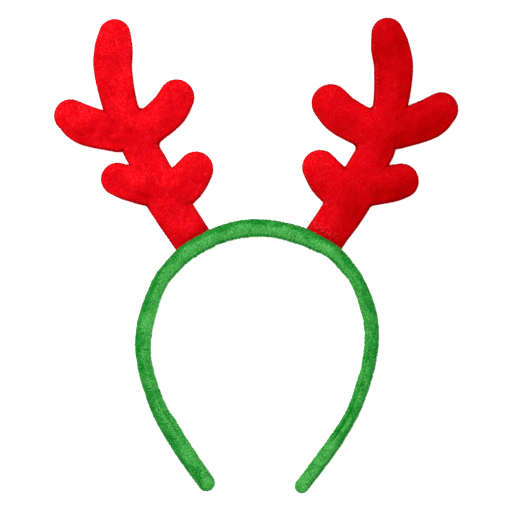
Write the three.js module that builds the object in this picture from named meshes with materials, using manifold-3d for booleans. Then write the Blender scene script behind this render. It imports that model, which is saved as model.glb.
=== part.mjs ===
// Reindeer antler headband: a padded velvet hoop that carries two stuffed velvet antlers.
// Millimetres, +Z up. The headband lies on its back: its crown points along +Y, its front faces +Z,
// and the origin is under the middle of its outline, on the surface that it lies on.
import * as THREE from "three";
import { mergeVertices } from "three/addons/utils/BufferGeometryUtils.js";
import Module from "manifold-3d";

const wasm = await Module();
wasm.setup();

// Sizes of the hoop
const HEAD_WIDTH = 119; // clear width at the temples, where the head goes
const HOOP_HEIGHT = 148; // from the middle of the crown down to the ends
const BAND_WIDTH = 12.5; // from the front edge to the back edge
const BAND_THICKNESS = 7.3; // padding and cloth, from the inside to the outside
const LAP_THICKNESS = 1; // the cover's edge, lapped over along the inside
const LAP_CUT_BACK = 24; // from each end of the hoop to the end of the lap

// Sizes of an antler
const ANTLER_HEIGHT = 123.5; // from its foot on the band to its top
const TINE_WIDTH = 21;
const ANTLER_THICKNESS = 14; // stuffed, at its thickest
const FOOT_THICKNESS = 8; // where it is pinched flat and joined to the band
const FOOT_PINCH = 26; // how far up the stem the pinch still shows
const SEAM_EDGE = 1.2; // thickness of the sewn edge all round

const CLOTH_GAP = 0.3; // between pieces that lie against each other

// Fineness of the faces
const BAND_STEP = 6; // along the hoop
const BAND_SIDES = 16; // round the hoop's section
const END_STEPS = 4; // over each rounded end
const CLOTH_STEP = 2.8; // between the points of an antler's cloth
const DISCS_PER_ROW = 8; // along a tine, from one row of its table to the next

// The middle line of the hoop, from the left end over the crown to the right end. Across is a share
// of half its width, down a share of its height and thick a share of the band's thickness.
const HOOP_ROWS = [
  { at: "left end", across: -0.406, down: 0.997, thick: 1.05 },
  { at: "left tip", across: -0.586, down: 0.887, thick: 1.16 },
  { at: "left leg", across: -0.752, down: 0.775, thick: 1.14 },
  { at: "left side", across: -0.881, down: 0.668, thick: 1 },
  { at: "left temple", across: -1, down: 0.447, thick: 1 },
  { at: "left shoulder", across: -0.876, down: 0.226, thick: 1.01 },
  { at: "left bend", across: -0.719, down: 0.133, thick: 1.04 },
  { at: "left seat", across: -0.537, down: 0.0725, thick: 1.05 },
  { at: "crown", across: 0, down: 0, thick: 1.14 },
  { at: "right seat", across: 0.564, down: 0.069, thick: 1.01 },
  { at: "right bend", across: 0.743, down: 0.124, thick: 0.95 },
  { at: "right shoulder", across: 0.9, down: 0.221, thick: 0.93 },
  { at: "right temple", across: 1, down: 0.428, thick: 0.91 },
  { at: "right side", across: 0.873, down: 0.666, thick: 0.84 },
  { at: "right leg", across: 0.747, down: 0.773, thick: 0.86 },
  { at: "right tip", across: 0.58, down: 0.879, thick: 0.95 },
  { at: "right end", across: 0.361, down: 1.003, thick: 0.9 },
];

// The cloth pattern that both antlers are cut from: a row for each place along the middle of a tine.
// Out, away from the middle of the head, and up are shares of the antler's height, measured from its
// foot, and wide is a share of the tine's width. The crotch rounds the corner that a tine makes
// with the tines above it in the table, and is a share of the tine's width too.
const PATTERN = [
  {
    tine: "stem",
    crotch: 0,
    rows: [
      { out: 0, up: 0, wide: 1.01 },
      { out: 0.118, up: 0.178, wide: 1.02 },
      { out: 0.19, up: 0.328, wide: 1.03 },
      { out: 0.232, up: 0.408, wide: 0.94 },
    ],
  },
  {
    tine: "top",
    crotch: 0.1,
    rows: [
      { out: 0.232, up: 0.408, wide: 0.94 },
      { out: 0.314, up: 0.583, wide: 0.94 },
      { out: 0.362, up: 0.76, wide: 1.03 },
      { out: 0.352, up: 0.918, wide: 0.93 },
    ],
  },
  {
    tine: "upper outer",
    crotch: 0.06,
    rows: [
      { out: 0.335, up: 0.492, wide: 1.05 },
      { out: 0.48, up: 0.52, wide: 1.06 },
      { out: 0.55, up: 0.562, wide: 0.86 },
    ],
  },
  {
    tine: "upper inner",
    crotch: 0.12,
    rows: [
      { out: 0.215, up: 0.494, wide: 0.96 },
      { out: 0.115, up: 0.585, wide: 1 },
      { out: 0.073, up: 0.65, wide: 0.93 },
    ],
  },
  {
    tine: "lower outer",
    crotch: 0.06,
    rows: [
      { out: 0.18, up: 0.237, wide: 1.05 },
      { out: 0.29, up: 0.258, wide: 0.95 },
      { out: 0.338, up: 0.275, wide: 0.86 },
    ],
  },
  {
    tine: "lower inner",
    crotch: 0.06,
    rows: [
      { out: 0.11, up: 0.195, wide: 1.12 },
      { out: 0.03, up: 0.265, wide: 1.1 },
      { out: -0.016, up: 0.322, wide: 0.91 },
    ],
  },
];

// How the stuffing sets each antler's tines: sway turns one about its root, outwards in degrees,
// and reach lengthens it. Tines above the top tine's root follow its sway.
const AS_CUT = { sway: 0, reach: 1 };
const ANTLERS = [
  { name: "antler_left", seat: "left seat", side: -1, set: {} },
  {
    name: "antler_right",
    seat: "right seat",
    side: 1,
    set: {
      top: { sway: -7.5, reach: 0.985 },
      "upper outer": { sway: -2.5, reach: 0.99 },
      "upper inner": { sway: -11, reach: 1.05 },
      "lower outer": { sway: 3, reach: 1.07 },
      "lower inner": { sway: -1, reach: 1.03 },
    },
  },
];

const BAND_SQUARENESS = 2.5; // exponent of the section's superellipse: 2 is round
const LAP_SIDES_BACK = 1.5; // sides of the section that the lap covers, from the middle of the inside
const LAP_SIDES_FRONT = 2.5;
const FOOT_TUCK = 0.45; // how deep the foot's cloth starts in the band, as a share of its thickness
const FULLNESS = 0.78; // how round the stuffing makes a tine: 1 is a full circle
const RELAX_SWEEPS = 400; // passes of the stuffing's pressure over the cloth
const SNAP = 0.34; // share of a cloth step within which a point moves onto the outline

const green = new THREE.MeshStandardMaterial({ color: 0x3da348, roughness: 0.95, metalness: 0 });
const darkGreen = new THREE.MeshStandardMaterial({ color: 0x2f8f3b, roughness: 0.95, metalness: 0 });
const red = new THREE.MeshStandardMaterial({ color: 0xe5101c, roughness: 0.9, metalness: 0 });

// Joining and cutting

function toSolid(geometry) {
  const bare = geometry.clone();
  bare.deleteAttribute("normal");
  bare.deleteAttribute("uv");
  const merged = mergeVertices(bare, 1e-4);
  return new wasm.Manifold(
    new wasm.Mesh({
      numProp: 3,
      vertProperties: new Float32Array(merged.attributes.position.array),
      triVerts: new Uint32Array(merged.index.array),
    }),
  );
}

function toGeometry(solid) {
  const mesh = solid.getMesh();
  const geometry = new THREE.BufferGeometry();
  geometry.setAttribute("position", new THREE.BufferAttribute(mesh.vertProperties, 3));
  geometry.setIndex(new THREE.BufferAttribute(mesh.triVerts, 1));
  geometry.computeVertexNormals();
  return geometry;
}

function toMesh(name, geometry, material) {
  const mesh = new THREE.Mesh(geometry, material);
  mesh.name = name;
  return mesh;
}

// The hoop

// The middle line as a curve through the rows. Its z carries the thickness of the band.
const halfHoopWidth = HEAD_WIDTH / 2 + LAP_THICKNESS + CLOTH_GAP + BAND_THICKNESS / 2;
const hoopLine = new THREE.CatmullRomCurve3(
  HOOP_ROWS.map(
    (row) =>
      new THREE.Vector3(
        row.across * halfHoopWidth,
        -row.down * HOOP_HEIGHT,
        row.thick * BAND_THICKNESS,
      ),
  ),
);
hoopLine.arcLengthDivisions = 1000;
const hoopLength = hoopLine.getLength();
const endRadius = BAND_THICKNESS / 2;

// A place on the hoop's middle line: its point, the direction away from the head, and the thickness.
function hoopPlace(linePoint, tangent) {
  const along = tangent.clone().setZ(0).normalize();
  return {
    point: new THREE.Vector3(linePoint.x, linePoint.y, 0),
    outward: new THREE.Vector3(-along.y, along.x, 0),
    thickness: linePoint.z,
  };
}

// Even distances along the hoop between two cut backs.
function evenDistances(cutBack) {
  const span = hoopLength - 2 * cutBack;
  const steps = Math.round(span / BAND_STEP);
  return Array.from({ length: steps + 1 }, (_, i) => cutBack + (span * i) / steps);
}

// Distances along the whole hoop, closer together over its rounded ends.
function bandDistances() {
  const end = Array.from({ length: END_STEPS }, (_, i) => {
    const turn = ((i + 0.3) / END_STEPS) * (Math.PI / 2);
    return endRadius * (1 - Math.cos(turn));
  });
  return [...end, ...evenDistances(endRadius), ...end.map((d) => hoopLength - d).reverse()];
}

// A point of the band's section: a superellipse with a flat side on its outside, front, inside and
// back. Sides are counted round from the middle of the outside, and the margin grows it all round.
function sectionPoint(sides, thickness, width, margin = 0) {
  const soften = (value) => Math.sign(value) * Math.abs(value) ** (2 / BAND_SQUARENESS);
  const corner = soften(Math.cos(Math.PI / BAND_SIDES));
  const angle = (sides / BAND_SIDES) * 2 * Math.PI;
  return {
    outward: ((thickness / 2 + margin) * soften(Math.cos(angle))) / corner,
    up: ((width / 2 + margin) * soften(Math.sin(angle))) / corner,
  };
}

// A closed solid whose section, a loop of points, is carried along the hoop.
function sweptAlongHoop(distances, loopAt) {
  const positions = [];
  const faces = [];
  let loop = [];
  distances.forEach((distance, i) => {
    const share = distance / hoopLength;
    const place = hoopPlace(hoopLine.getPointAt(share), hoopLine.getTangentAt(share));
    loop = loopAt(bandSizeAt(place, distance));
    const start = i * loop.length;
    loop.forEach(({ outward, up }, k) => {
      const at = place.point.clone().addScaledVector(place.outward, outward);
      positions.push(at.x, at.y, up);
      if (i === 0) return;
      const next = (k + 1) % loop.length;
      const before = start - loop.length;
      faces.push(before + k, before + next, start + next, before + k, start + next, start + k);
    });
  });
  const flat = loop.map(({ outward, up }) => new THREE.Vector2(outward, up));
  const last = (distances.length - 1) * loop.length;
  THREE.ShapeUtils.triangulateShape(flat, []).forEach(([a, b, c]) => {
    faces.push(a, c, b, last + a, last + b, last + c);
  });
  const geometry = new THREE.BufferGeometry();
  geometry.setAttribute("position", new THREE.Float32BufferAttribute(positions, 3));
  geometry.setIndex(faces);
  return geometry;
}

// Width and thickness shrink over the rounded ends.
function bandSizeAt(place, distance) {
  const fromEnd = Math.min(distance, hoopLength - distance);
  const round = Math.sqrt(1 - (1 - Math.min(fromEnd / endRadius, 1)) ** 2);
  return { ...place, thickness: place.thickness * round, width: BAND_WIDTH * round };
}

function bandGeometry(margin = 0) {
  return sweptAlongHoop(bandDistances(), ({ thickness, width }) =>
    Array.from({ length: BAND_SIDES }, (_, k) => sectionPoint(k + 0.5, thickness, width, margin)),
  );
}

// The edge of the cover, lapped over along the inside: a layer that follows the band's section.
function lapGeometry() {
  const count = LAP_SIDES_BACK + LAP_SIDES_FRONT + 1;
  const sides = Array.from({ length: count }, (_, k) => BAND_SIDES / 2 + LAP_SIDES_BACK - k);
  return sweptAlongHoop(evenDistances(LAP_CUT_BACK), ({ thickness, width }) => {
    const layer = (margin) => sides.map((side) => sectionPoint(side, thickness, width, margin));
    return [...layer(CLOTH_GAP), ...layer(CLOTH_GAP + LAP_THICKNESS).reverse()];
  });
}

// The antlers

// The tines of one antler as rows of discs { x, y, radius }, set by its stuffing.
function tinesOf({ side, set }) {
  const turned = (row, about, { sway, reach }) => {
    const angle = THREE.MathUtils.degToRad(-sway);
    const from = new THREE.Vector2(row.out - about.out, row.up - about.up);
    from.rotateAround(new THREE.Vector2(), angle).multiplyScalar(reach);
    return { ...row, out: about.out + from.x, up: about.up + from.y };
  };
  const topRoot = PATTERN.find(({ tine }) => tine === "top").rows[0];
  const topSet = { ...AS_CUT, sway: (set.top ?? AS_CUT).sway };
  return PATTERN.map(({ tine, crotch, rows }) => {
    const own = rows.map((row) => turned(row, rows[0], set[tine] ?? AS_CUT));
    const root = rows[0].up > topRoot.up ? turned(rows[0], topRoot, topSet) : rows[0];
    const curve = new THREE.CatmullRomCurve3(
      own.map(
        ({ out, up, wide }) =>
          new THREE.Vector3(
            side * (out + root.out - rows[0].out) * ANTLER_HEIGHT,
            (up + root.up - rows[0].up) * ANTLER_HEIGHT,
            (wide * TINE_WIDTH) / 2,
          ),
      ),
      false,
      "catmullrom",
    );
    const discs = curve.getPoints(DISCS_PER_ROW * (rows.length - 1));
    return { crotch: crotch * TINE_WIDTH, discs: discs.map(({ x, y, z }) => ({ x, y, radius: z })) };
  });
}

// Distance to the edge of one tine, negative inside: the tine fills the space from disc to disc.
function distanceToTine(discs, x, y) {
  let nearest = Infinity;
  for (let i = 1; i < discs.length; i++) {
    const [a, b] = [discs[i - 1], discs[i]];
    const [dx, dy] = [b.x - a.x, b.y - a.y];
    const t = THREE.MathUtils.clamp(((x - a.x) * dx + (y - a.y) * dy) / (dx * dx + dy * dy), 0, 1);
    const radius = THREE.MathUtils.lerp(a.radius, b.radius, t);
    nearest = Math.min(nearest, Math.hypot(x - a.x - t * dx, y - a.y - t * dy) - radius);
  }
  return nearest;
}

// Distance to the outline of the whole antler, negative inside: its tines joined with rounded
// crotches, and cut off square at the foot, a little inside the band.
function outlineOf(antler, tuck) {
  const tines = tinesOf(antler);
  const [foot, next] = tines[0].discs;
  const upStem = new THREE.Vector2(next.x - foot.x, next.y - foot.y).normalize();
  // The stem starts below the foot, so its round end is beyond the square cut.
  tines[0].discs.unshift({
    x: foot.x - upStem.x * 2 * tuck,
    y: foot.y - upStem.y * 2 * tuck,
    radius: foot.radius,
  });
  const distance = (x, y) => {
    const joined = tines.reduce((total, { crotch, discs }) => {
      const own = distanceToTine(discs, x, y);
      const blend = crotch > 0 ? Math.max(crotch - Math.abs(total - own), 0) / crotch : 0;
      return Math.min(total, own) - (blend * blend * crotch) / 4;
    }, Infinity);
    return Math.max(joined, -(x * upStem.x + y * upStem.y) - tuck);
  };
  return { distance, upStem, discs: tines.flatMap((tine) => tine.discs) };
}

// The antler's cloth as a flat mesh: a lattice of triangles, cut along the outline. Each point
// keeps whether it lies on the edge.
function flatCloth({ distance, discs }) {
  const margin = 2 * CLOTH_STEP;
  const [x0, x1] = [Math.min(...discs.map((d) => d.x - d.radius)), Math.max(...discs.map((d) => d.x + d.radius))];
  const [y0, y1] = [Math.min(...discs.map((d) => d.y - d.radius)), Math.max(...discs.map((d) => d.y + d.radius))];
  const rowHeight = (CLOTH_STEP * Math.sqrt(3)) / 2;
  const columns = Math.ceil((x1 - x0 + 2 * margin) / CLOTH_STEP) + 1;
  const rows = Math.ceil((y1 - y0 + 2 * margin) / rowHeight) + 1;
  const points = [];
  for (let j = 0; j < rows; j++) {
    for (let i = 0; i < columns; i++) {
      points.push(latticePoint(distance, x0 - margin + (i + (j % 2) / 2) * CLOTH_STEP, y0 - margin + j * rowHeight));
    }
  }
  // A point on the outline between an inner and an outer point, made once for both of its triangles.
  const crossings = new Map();
  const crossing = (inner, outer) => {
    const key = `${inner} ${outer}`;
    if (!crossings.has(key)) {
      const [p, q] = [points[inner], points[outer]];
      const t = p.depth / (p.depth - q.depth);
      crossings.set(key, points.length);
      points.push({ x: p.x + t * (q.x - p.x), y: p.y + t * (q.y - p.y), depth: 0, edge: true });
    }
    return crossings.get(key);
  };
  const faces = [];
  const cutAndKeep = (corners) => {
    const kept = [];
    corners.forEach((corner, k) => {
      const before = corners[(k + 2) % 3];
      const [here, there] = [points[corner].depth, points[before].depth];
      if (here < 0 && there > 0) kept.push(crossing(corner, before));
      if (here > 0 && there < 0) kept.push(crossing(before, corner));
      if (here <= 0) kept.push(corner);
    });
    if (kept.length < 3 || kept.every((k) => points[k].edge)) return;
    // A cut leaves two inner corners at most, and the split starts at one of them.
    const start = kept.findIndex((k) => !points[k].edge);
    const turned = [...kept.slice(start), ...kept.slice(0, start)];
    faces.push([turned[0], turned[1], turned[2]]);
    if (turned.length === 4) faces.push([turned[0], turned[2], turned[3]]);
  };
  for (let j = 0; j + 1 < rows; j++) {
    for (let i = 0; i + 1 < columns; i++) {
      const [a, b, c, d] = [j * columns + i, j * columns + i + 1, (j + 1) * columns + i, (j + 1) * columns + i + 1];
      const halves = j % 2 ? [[a, b, d], [a, d, c]] : [[a, b, c], [b, d, c]];
      halves.forEach(cutAndKeep);
    }
  }
  return { points, faces };
}

// A lattice point with its distance to the outline. One that lies close to the outline moves onto it.
function latticePoint(distance, x, y) {
  const probe = CLOTH_STEP / 20;
  const depth = distance(x, y);
  if (Math.abs(depth) > SNAP * CLOTH_STEP) return { x, y, depth, edge: false };
  const slope = new THREE.Vector2(
    distance(x + probe, y) - distance(x - probe, y),
    distance(x, y + probe) - distance(x, y - probe),
  ).divideScalar(2 * probe);
  const step = depth / slope.lengthSq();
  return { x: x - slope.x * step, y: y - slope.y * step, depth: 0, edge: true };
}

// How far the stuffing lifts each point of the cloth: the height of a skin that is held at the
// outline and pressed up evenly, as a half circle over a long tine.
function liftOf({ points, faces }) {
  const spacings = points.map(() => new Map());
  faces.forEach((face) =>
    face.forEach((from, k) => {
      const to = face[(k + 1) % 3];
      const spacing = Math.hypot(points[to].x - points[from].x, points[to].y - points[from].y);
      spacings[from].set(to, spacing);
      spacings[to].set(from, spacing);
    }),
  );
  const inner = points.map((_, i) => i).filter((i) => !points[i].edge && spacings[i].size);
  const pressed = new Float64Array(points.length);
  for (let sweep = 0; sweep < RELAX_SWEEPS; sweep++) {
    for (const i of inner) {
      let [pull, hold] = [0, 0];
      for (const [k, spacing] of spacings[i]) {
        pull += pressed[k] / spacing + spacing / 4;
        hold += 1 / spacing;
      }
      pressed[i] = pull / hold;
    }
  }
  return Array.from(pressed, (value) => Math.sqrt(2 * value));
}

// A stuffed antler, with its foot at the origin and its sewn edge in the plane z = 0. Its back is
// pressed flat where it reaches the surface that the headband lies on.
function stuffedAntler(antler, bandThickness) {
  const outline = outlineOf(antler, FOOT_TUCK * bandThickness);
  const cloth = flatCloth(outline);
  const lift = liftOf(cloth);
  const half = ANTLER_THICKNESS / 2;
  const heights = cloth.points.map(({ x, y }, i) => {
    const upStem = x * outline.upStem.x + y * outline.upStem.y;
    const opened = THREE.MathUtils.smoothstep(upStem, 0, FOOT_PINCH);
    const fullest = THREE.MathUtils.lerp(FOOT_THICKNESS / 2, half, opened);
    return Math.max(fullest * Math.tanh((FULLNESS * lift[i]) / half), SEAM_EDGE / 2);
  });
  const count = cloth.points.length;
  const positions = [];
  cloth.points.forEach(({ x, y }, i) => positions.push(x, y, heights[i]));
  cloth.points.forEach(({ x, y }, i) => positions.push(x, y, -Math.min(heights[i], BAND_WIDTH / 2)));
  const faces = [];
  const sides = new Set(cloth.faces.flatMap(([a, b, c]) => [`${a} ${b}`, `${b} ${c}`, `${c} ${a}`]));
  cloth.faces.forEach((face) => {
    const [a, b, c] = face;
    faces.push(a, b, c, count + a, count + c, count + b);
    face.forEach((from, k) => {
      const to = face[(k + 1) % 3];
      if (!sides.has(`${to} ${from}`)) faces.push(from, count + from, count + to, from, count + to, to);
    });
  });
  const geometry = new THREE.BufferGeometry();
  geometry.setAttribute("position", new THREE.Float32BufferAttribute(positions, 3));
  geometry.setIndex(faces);
  return toSolid(geometry);
}

// Where an antler stands on the band: on its outside, at its row of the hoop's table.
function seatOf({ seat }) {
  const row = HOOP_ROWS.findIndex(({ at }) => at === seat);
  const t = row / (HOOP_ROWS.length - 1);
  const { point, outward, thickness } = hoopPlace(hoopLine.getPoint(t), hoopLine.getTangent(t));
  return { point: point.addScaledVector(outward, thickness / 2), thickness };
}

const headband = new THREE.Group();
headband.add(toMesh("band", bandGeometry(), green));
headband.add(toMesh("cover_lap", lapGeometry(), darkGreen));

const trimmer = toSolid(bandGeometry(CLOTH_GAP));
ANTLERS.forEach((antler) => {
  const { point, thickness } = seatOf(antler);
  const whole = stuffedAntler(antler, thickness);
  const trimmed = whole.subtract(trimmer.translate([-point.x, -point.y, 0]));
  const mesh = toMesh(antler.name, toGeometry(trimmed), red);
  mesh.position.copy(point);
  headband.add(mesh);
});

// The headband lies with its lowest faces on z = 0, and the middle of its outline at the origin.
const reindeerHeadband = new THREE.Group();
reindeerHeadband.add(headband);
const box = new THREE.Box3().setFromObject(headband);
const middle = box.getCenter(new THREE.Vector3());
headband.position.set(-middle.x, -middle.y, -box.min.z);

export default reindeerHeadband;
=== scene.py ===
"""A reindeer antler headband: a padded velvet hoop that carries two stuffed velvet antlers.

It lies flat on its back, as it is packed: +X to the right, +Y from the ends of the hoop to the tops of the
antlers, +Z up out of its front. Shapes are worked out in millimetres and become metres in their meshes.
"""

import math

import bpy
import numpy as np
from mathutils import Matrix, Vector


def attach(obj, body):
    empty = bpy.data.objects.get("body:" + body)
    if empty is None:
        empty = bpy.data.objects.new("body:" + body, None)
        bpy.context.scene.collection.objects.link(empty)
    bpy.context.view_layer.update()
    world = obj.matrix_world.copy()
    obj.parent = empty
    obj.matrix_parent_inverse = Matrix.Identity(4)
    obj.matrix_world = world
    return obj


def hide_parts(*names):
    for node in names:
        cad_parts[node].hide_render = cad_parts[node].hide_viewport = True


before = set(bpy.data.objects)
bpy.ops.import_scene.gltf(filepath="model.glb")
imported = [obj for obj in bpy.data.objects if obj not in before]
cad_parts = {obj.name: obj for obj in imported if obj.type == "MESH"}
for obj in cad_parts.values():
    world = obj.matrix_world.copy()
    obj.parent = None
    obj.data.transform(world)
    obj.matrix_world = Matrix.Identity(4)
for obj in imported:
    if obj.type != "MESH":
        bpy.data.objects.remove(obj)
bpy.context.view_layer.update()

MM = 0.001  # metres

# The hoop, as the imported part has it
HEAD_WIDTH = 119
HOOP_HEIGHT = 148
BAND_WIDTH = 12.5
BAND_THICKNESS = 7.3
LAP_THICKNESS = 1
CLOTH_GAP = 0.3
LAP_CUT_BACK = 24
BAND_SQUARENESS = 2.5
SECTION_SIDES = 16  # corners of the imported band's section
CROWN = np.array([0.285, 16.214])  # the middle line's highest row, in the part's frame
MIDDLE = BAND_WIDTH / 2  # height of the plane that the antlers' seams lie in
HALF_HOOP = HEAD_WIDTH / 2 + LAP_THICKNESS + CLOTH_GAP + BAND_THICKNESS / 2
SPAN_STEPS = 60  # points on each span between two of the hoop's rows
LINE_POINTS = 1200  # points on its evenly spaced middle line

# Across, as a share of half the hoop's width, down, as a share of its height, and thickness, as a share
# of the band's: from the left end over the crown to the right end.
HOOP_ROWS = [
    (-0.406, 0.997, 1.05),
    (-0.586, 0.887, 1.16),
    (-0.752, 0.775, 1.14),
    (-0.881, 0.668, 1.0),
    (-1.0, 0.447, 1.0),
    (-0.876, 0.226, 1.01),
    (-0.719, 0.133, 1.04),
    (-0.537, 0.0725, 1.05),
    (0.0, 0.0, 1.14),
    (0.564, 0.069, 1.01),
    (0.743, 0.124, 0.95),
    (0.9, 0.221, 0.93),
    (1.0, 0.428, 0.91),
    (0.873, 0.666, 0.84),
    (0.747, 0.773, 0.86),
    (0.58, 0.879, 0.95),
    (0.361, 1.003, 0.9),
]
LEFT_SEAT = 7
RIGHT_SEAT = 9

# How the padding has settled in its cover: share of the hoop's length from its left end, how far the cover
# has moved away from the head, and how much thicker it is.
SETTLED = [
    (0, -0.7, 1.5),
    (0.06, -0.75, 1.5),
    (0.12, -0.4, 1.0),
    (0.17, 0, 0.4),
    (0.2, -0.2, 0.6),
    (0.27, -0.5, 1.0),
    (0.35, -0.75, 0.4),
    (0.385, -0.6, 1.4),
    (0.44, 0.45, 1.2),
    (0.5, -0.3, 0.7),
    (0.56, 0.7, 1.4),
    (0.64, -0.25, 0.5),
    (0.72, 0.55, 0.8),
    (0.8, 0.5, 0.5),
    (0.88, 0.25, 0.45),
    (0.95, -0.3, 1.1),
    (1, -0.2, 1.2),
]

# The antlers' pattern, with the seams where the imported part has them, give or take how they have settled
ANTLER_HEIGHT = 123.5
TINE_WIDTH = 21
ANTLER_THICKNESS = 14
FOOT_THICKNESS = 8
FOOT_PINCH = 26
FULLNESS = 0.78
FOOT_TUCK = 0.45  # how far an antler's foot reaches into the band, as a share of the band's thickness
FOOT_GAP = 0.12  # between an antler's foot and the band's cloth
TINE_STEPS = 12  # discs on each span between two of a tine's rows

# Each tine's rows: out and up, as shares of the antler's height, and width, as a share of the tine's.
PATTERN = {
    "stem": [(-0.003, 0.0, 1.035), (0.115, 0.178, 1.05), (0.19, 0.328, 0.96), (0.233, 0.408, 0.87)],
    "top": [
        (0.233, 0.408, 0.87),
        (0.317, 0.583, 0.9),
        (0.3565, 0.76, 1.0),
        (0.3555, 0.857, 1.01),
        (0.35, 0.928, 0.84),
    ],
    "upper outer": [(0.335, 0.479, 0.94), (0.48, 0.519, 1.035), (0.55, 0.562, 0.87)],
    "upper inner": [(0.215, 0.492, 0.94), (0.111, 0.582, 0.98), (0.069, 0.647, 0.93)],
    "lower outer": [(0.18, 0.237, 1.02), (0.29, 0.259, 0.92), (0.338, 0.275, 0.86)],
    "lower inner": [(0.11, 0.187, 1.09), (0.026, 0.262, 1.05), (-0.018, 0.321, 0.92)],
}
# How far the corner between a tine and those before it is rounded, as a share of the tine's width
CROTCH = {"top": 0.1, "upper outer": 0.06, "upper inner": 0.2, "lower outer": 0.08, "lower inner": 0.08}

# How the stuffing sets each tine: its turn outwards about its root, in degrees, its reach and its fullness.
AS_CUT = (0, 1, 1)
LEFT_SET = {"stem": (-0.4, 1, 1)}
RIGHT_SET = {
    "stem": (0.5, 1, 1.02),
    "top": (-7, 0.985, 0.98),
    "upper outer": (-4.5, 0.98, 1),
    "upper inner": (-11.5, 1.02, 1.07),
    "lower outer": (4.8, 1.05, 1.04),
    "lower inner": (-0.4, 1.02, 1),
}

# For the left antler, -1, and the right one, 1: how far the stuffing pushes the seam out past the packed
# outline, how far it has moved the antler to the right, the height of the folds at its foot, how much painted
# shade darkens the pile towards the edges that face down and a little to the right, and which way the edges
# face where the seam has rolled to the front
PLUMP = {-1: 0.25, 1: 0.4}
SWAY = {-1: 0.15, 1: 0.2}
CRUMPLED = {-1: 0.1, 1: 0.8}
LEE_SHADE = {-1: 1.0, 1: 1.1}
LEAN = {-1: np.array([0.5, -0.87]), 1: np.array([0.75, -0.66])}

# Least heights over the surface that the headband lies on
TUFT_LIFT = 0.01
BAND_LIFT = 0.02
ANTLER_LIFT = 0.03


# Arithmetic of shapes


def smooth_path(rows, steps, even=False):
    """A smooth line through rows of numbers: a Catmull-Rom spline. Its knots lie apart by the square root of
    the distance between rows, or evenly. Gives steps points for each span, and the last row."""
    rows = np.asarray(rows, float)
    ends = np.vstack([2 * rows[0] - rows[1], rows, 2 * rows[-1] - rows[-2]])
    gaps = np.ones(len(ends) - 1) if even else np.linalg.norm(np.diff(ends, axis=0), axis=1) ** 0.5
    before, here, after = gaps[:-2, None], gaps[1:-1, None], gaps[2:, None]
    a, b, c, d = ends[:-3], ends[1:-2], ends[2:-1], ends[3:]
    leave = ((b - a) / before - (c - a) / (before + here) + (c - b) / here) * here
    arrive = ((c - b) / here - (d - b) / (here + after) + (d - c) / after) * here
    t = np.linspace(0, 1, steps, endpoint=False)[None, :, None]
    a, b, leave, arrive = (x[:, None, :] for x in (b, c, leave, arrive))
    square = 3 * (b - a) - 2 * leave - arrive
    cube = 2 * (a - b) + leave + arrive
    points = a + leave * t + square * t**2 + cube * t**3
    return np.vstack([points.reshape(-1, rows.shape[1]), rows[-1]])


def soft_noise(points, size, seed, waves=14):
    """Smooth noise of about the given size, roughly from -1 to 1: the sum of plane waves that run in random
    directions, with random phases and lengths from 0.7 to 1.5 of twice the size."""
    dice = np.random.default_rng(seed)
    directions = dice.normal(size=(points.shape[-1], waves))
    directions /= np.linalg.norm(directions, axis=0)
    lengths = 2 * size * dice.uniform(0.7, 1.5, waves)
    phases = dice.uniform(0, 2 * np.pi, waves)
    return np.sin(points @ directions * (2 * np.pi / lengths) + phases).sum(-1) / (1.2 * waves**0.5)


def smooth_rise(x, low, high):
    """From 0 at low to 1 at high, with level ends: 3t^2 - 2t^3."""
    t = np.clip((x - low) / (high - low), 0, 1)
    return t * t * (3 - 2 * t)


def bell(x, width):
    """1 at 0, and less on both sides: e to the power of -(x / width)^2."""
    return np.exp(-((x / width) ** 2))


def signed_power(x, exponent):
    return np.sign(x) * np.abs(x) ** exponent


def new_piece(name, points, faces, attributes=None, smooth=True):
    """Puts points, in millimetres, and faces into a mesh object, with an attribute for each named array of
    numbers or of vectors."""
    mesh = bpy.data.meshes.new(name)
    faces = np.asarray(faces)
    sides = faces.shape[1]
    mesh.vertices.add(len(points))
    mesh.vertices.foreach_set("co", (np.asarray(points) * MM).astype(np.float32).ravel())
    mesh.loops.add(faces.size)
    mesh.loops.foreach_set("vertex_index", faces.astype(np.int32).ravel())
    mesh.polygons.add(len(faces))
    mesh.polygons.foreach_set("loop_start", np.arange(0, faces.size, sides, dtype=np.int32))
    mesh.polygons.foreach_set("use_smooth", np.full(len(faces), smooth))
    for label, values in (attributes or {}).items():
        values = np.asarray(values, np.float32)
        made = mesh.attributes.new(label, "FLOAT" if values.ndim == 1 else "FLOAT_VECTOR", "POINT")
        made.data.foreach_set("value" if values.ndim == 1 else "vector", values.ravel())
    mesh.update(calc_edges=True)
    mesh.validate()
    piece = bpy.data.objects.new(name, mesh)
    bpy.context.scene.collection.objects.link(piece)
    return piece


# The hoop


def packed_hoop():
    """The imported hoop's line from its crown, x and y, and its thickness: a smooth path through its rows."""
    return smooth_path(np.array(HOOP_ROWS) * [HALF_HOOP, -HOOP_HEIGHT, BAND_THICKNESS], SPAN_STEPS)


def hoop_line():
    """The hoop's middle line, evenly spaced: points, the direction away from the head, thickness, distance.
    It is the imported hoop's line, with the cover as it has settled."""
    fine = packed_hoop()
    runs = np.concatenate([[0], np.cumsum(np.linalg.norm(np.diff(fine, axis=0), axis=1))])
    distance = np.linspace(0, runs[-1], LINE_POINTS)
    line = np.stack([np.interp(distance, runs, column) for column in fine.T], axis=1)
    along = np.gradient(line[:, :2], axis=0)
    along /= np.linalg.norm(along, axis=1)[:, None]
    outward = np.stack([-along[:, 1], along[:, 0]], axis=1)
    share, moved, thicker = np.array(SETTLED).T
    moved, thicker = (np.interp(distance / runs[-1], share, column) for column in (moved, thicker))
    return line[:, :2] + CROWN + outward * moved[:, None], outward, line[:, 2] + thicker, distance


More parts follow.
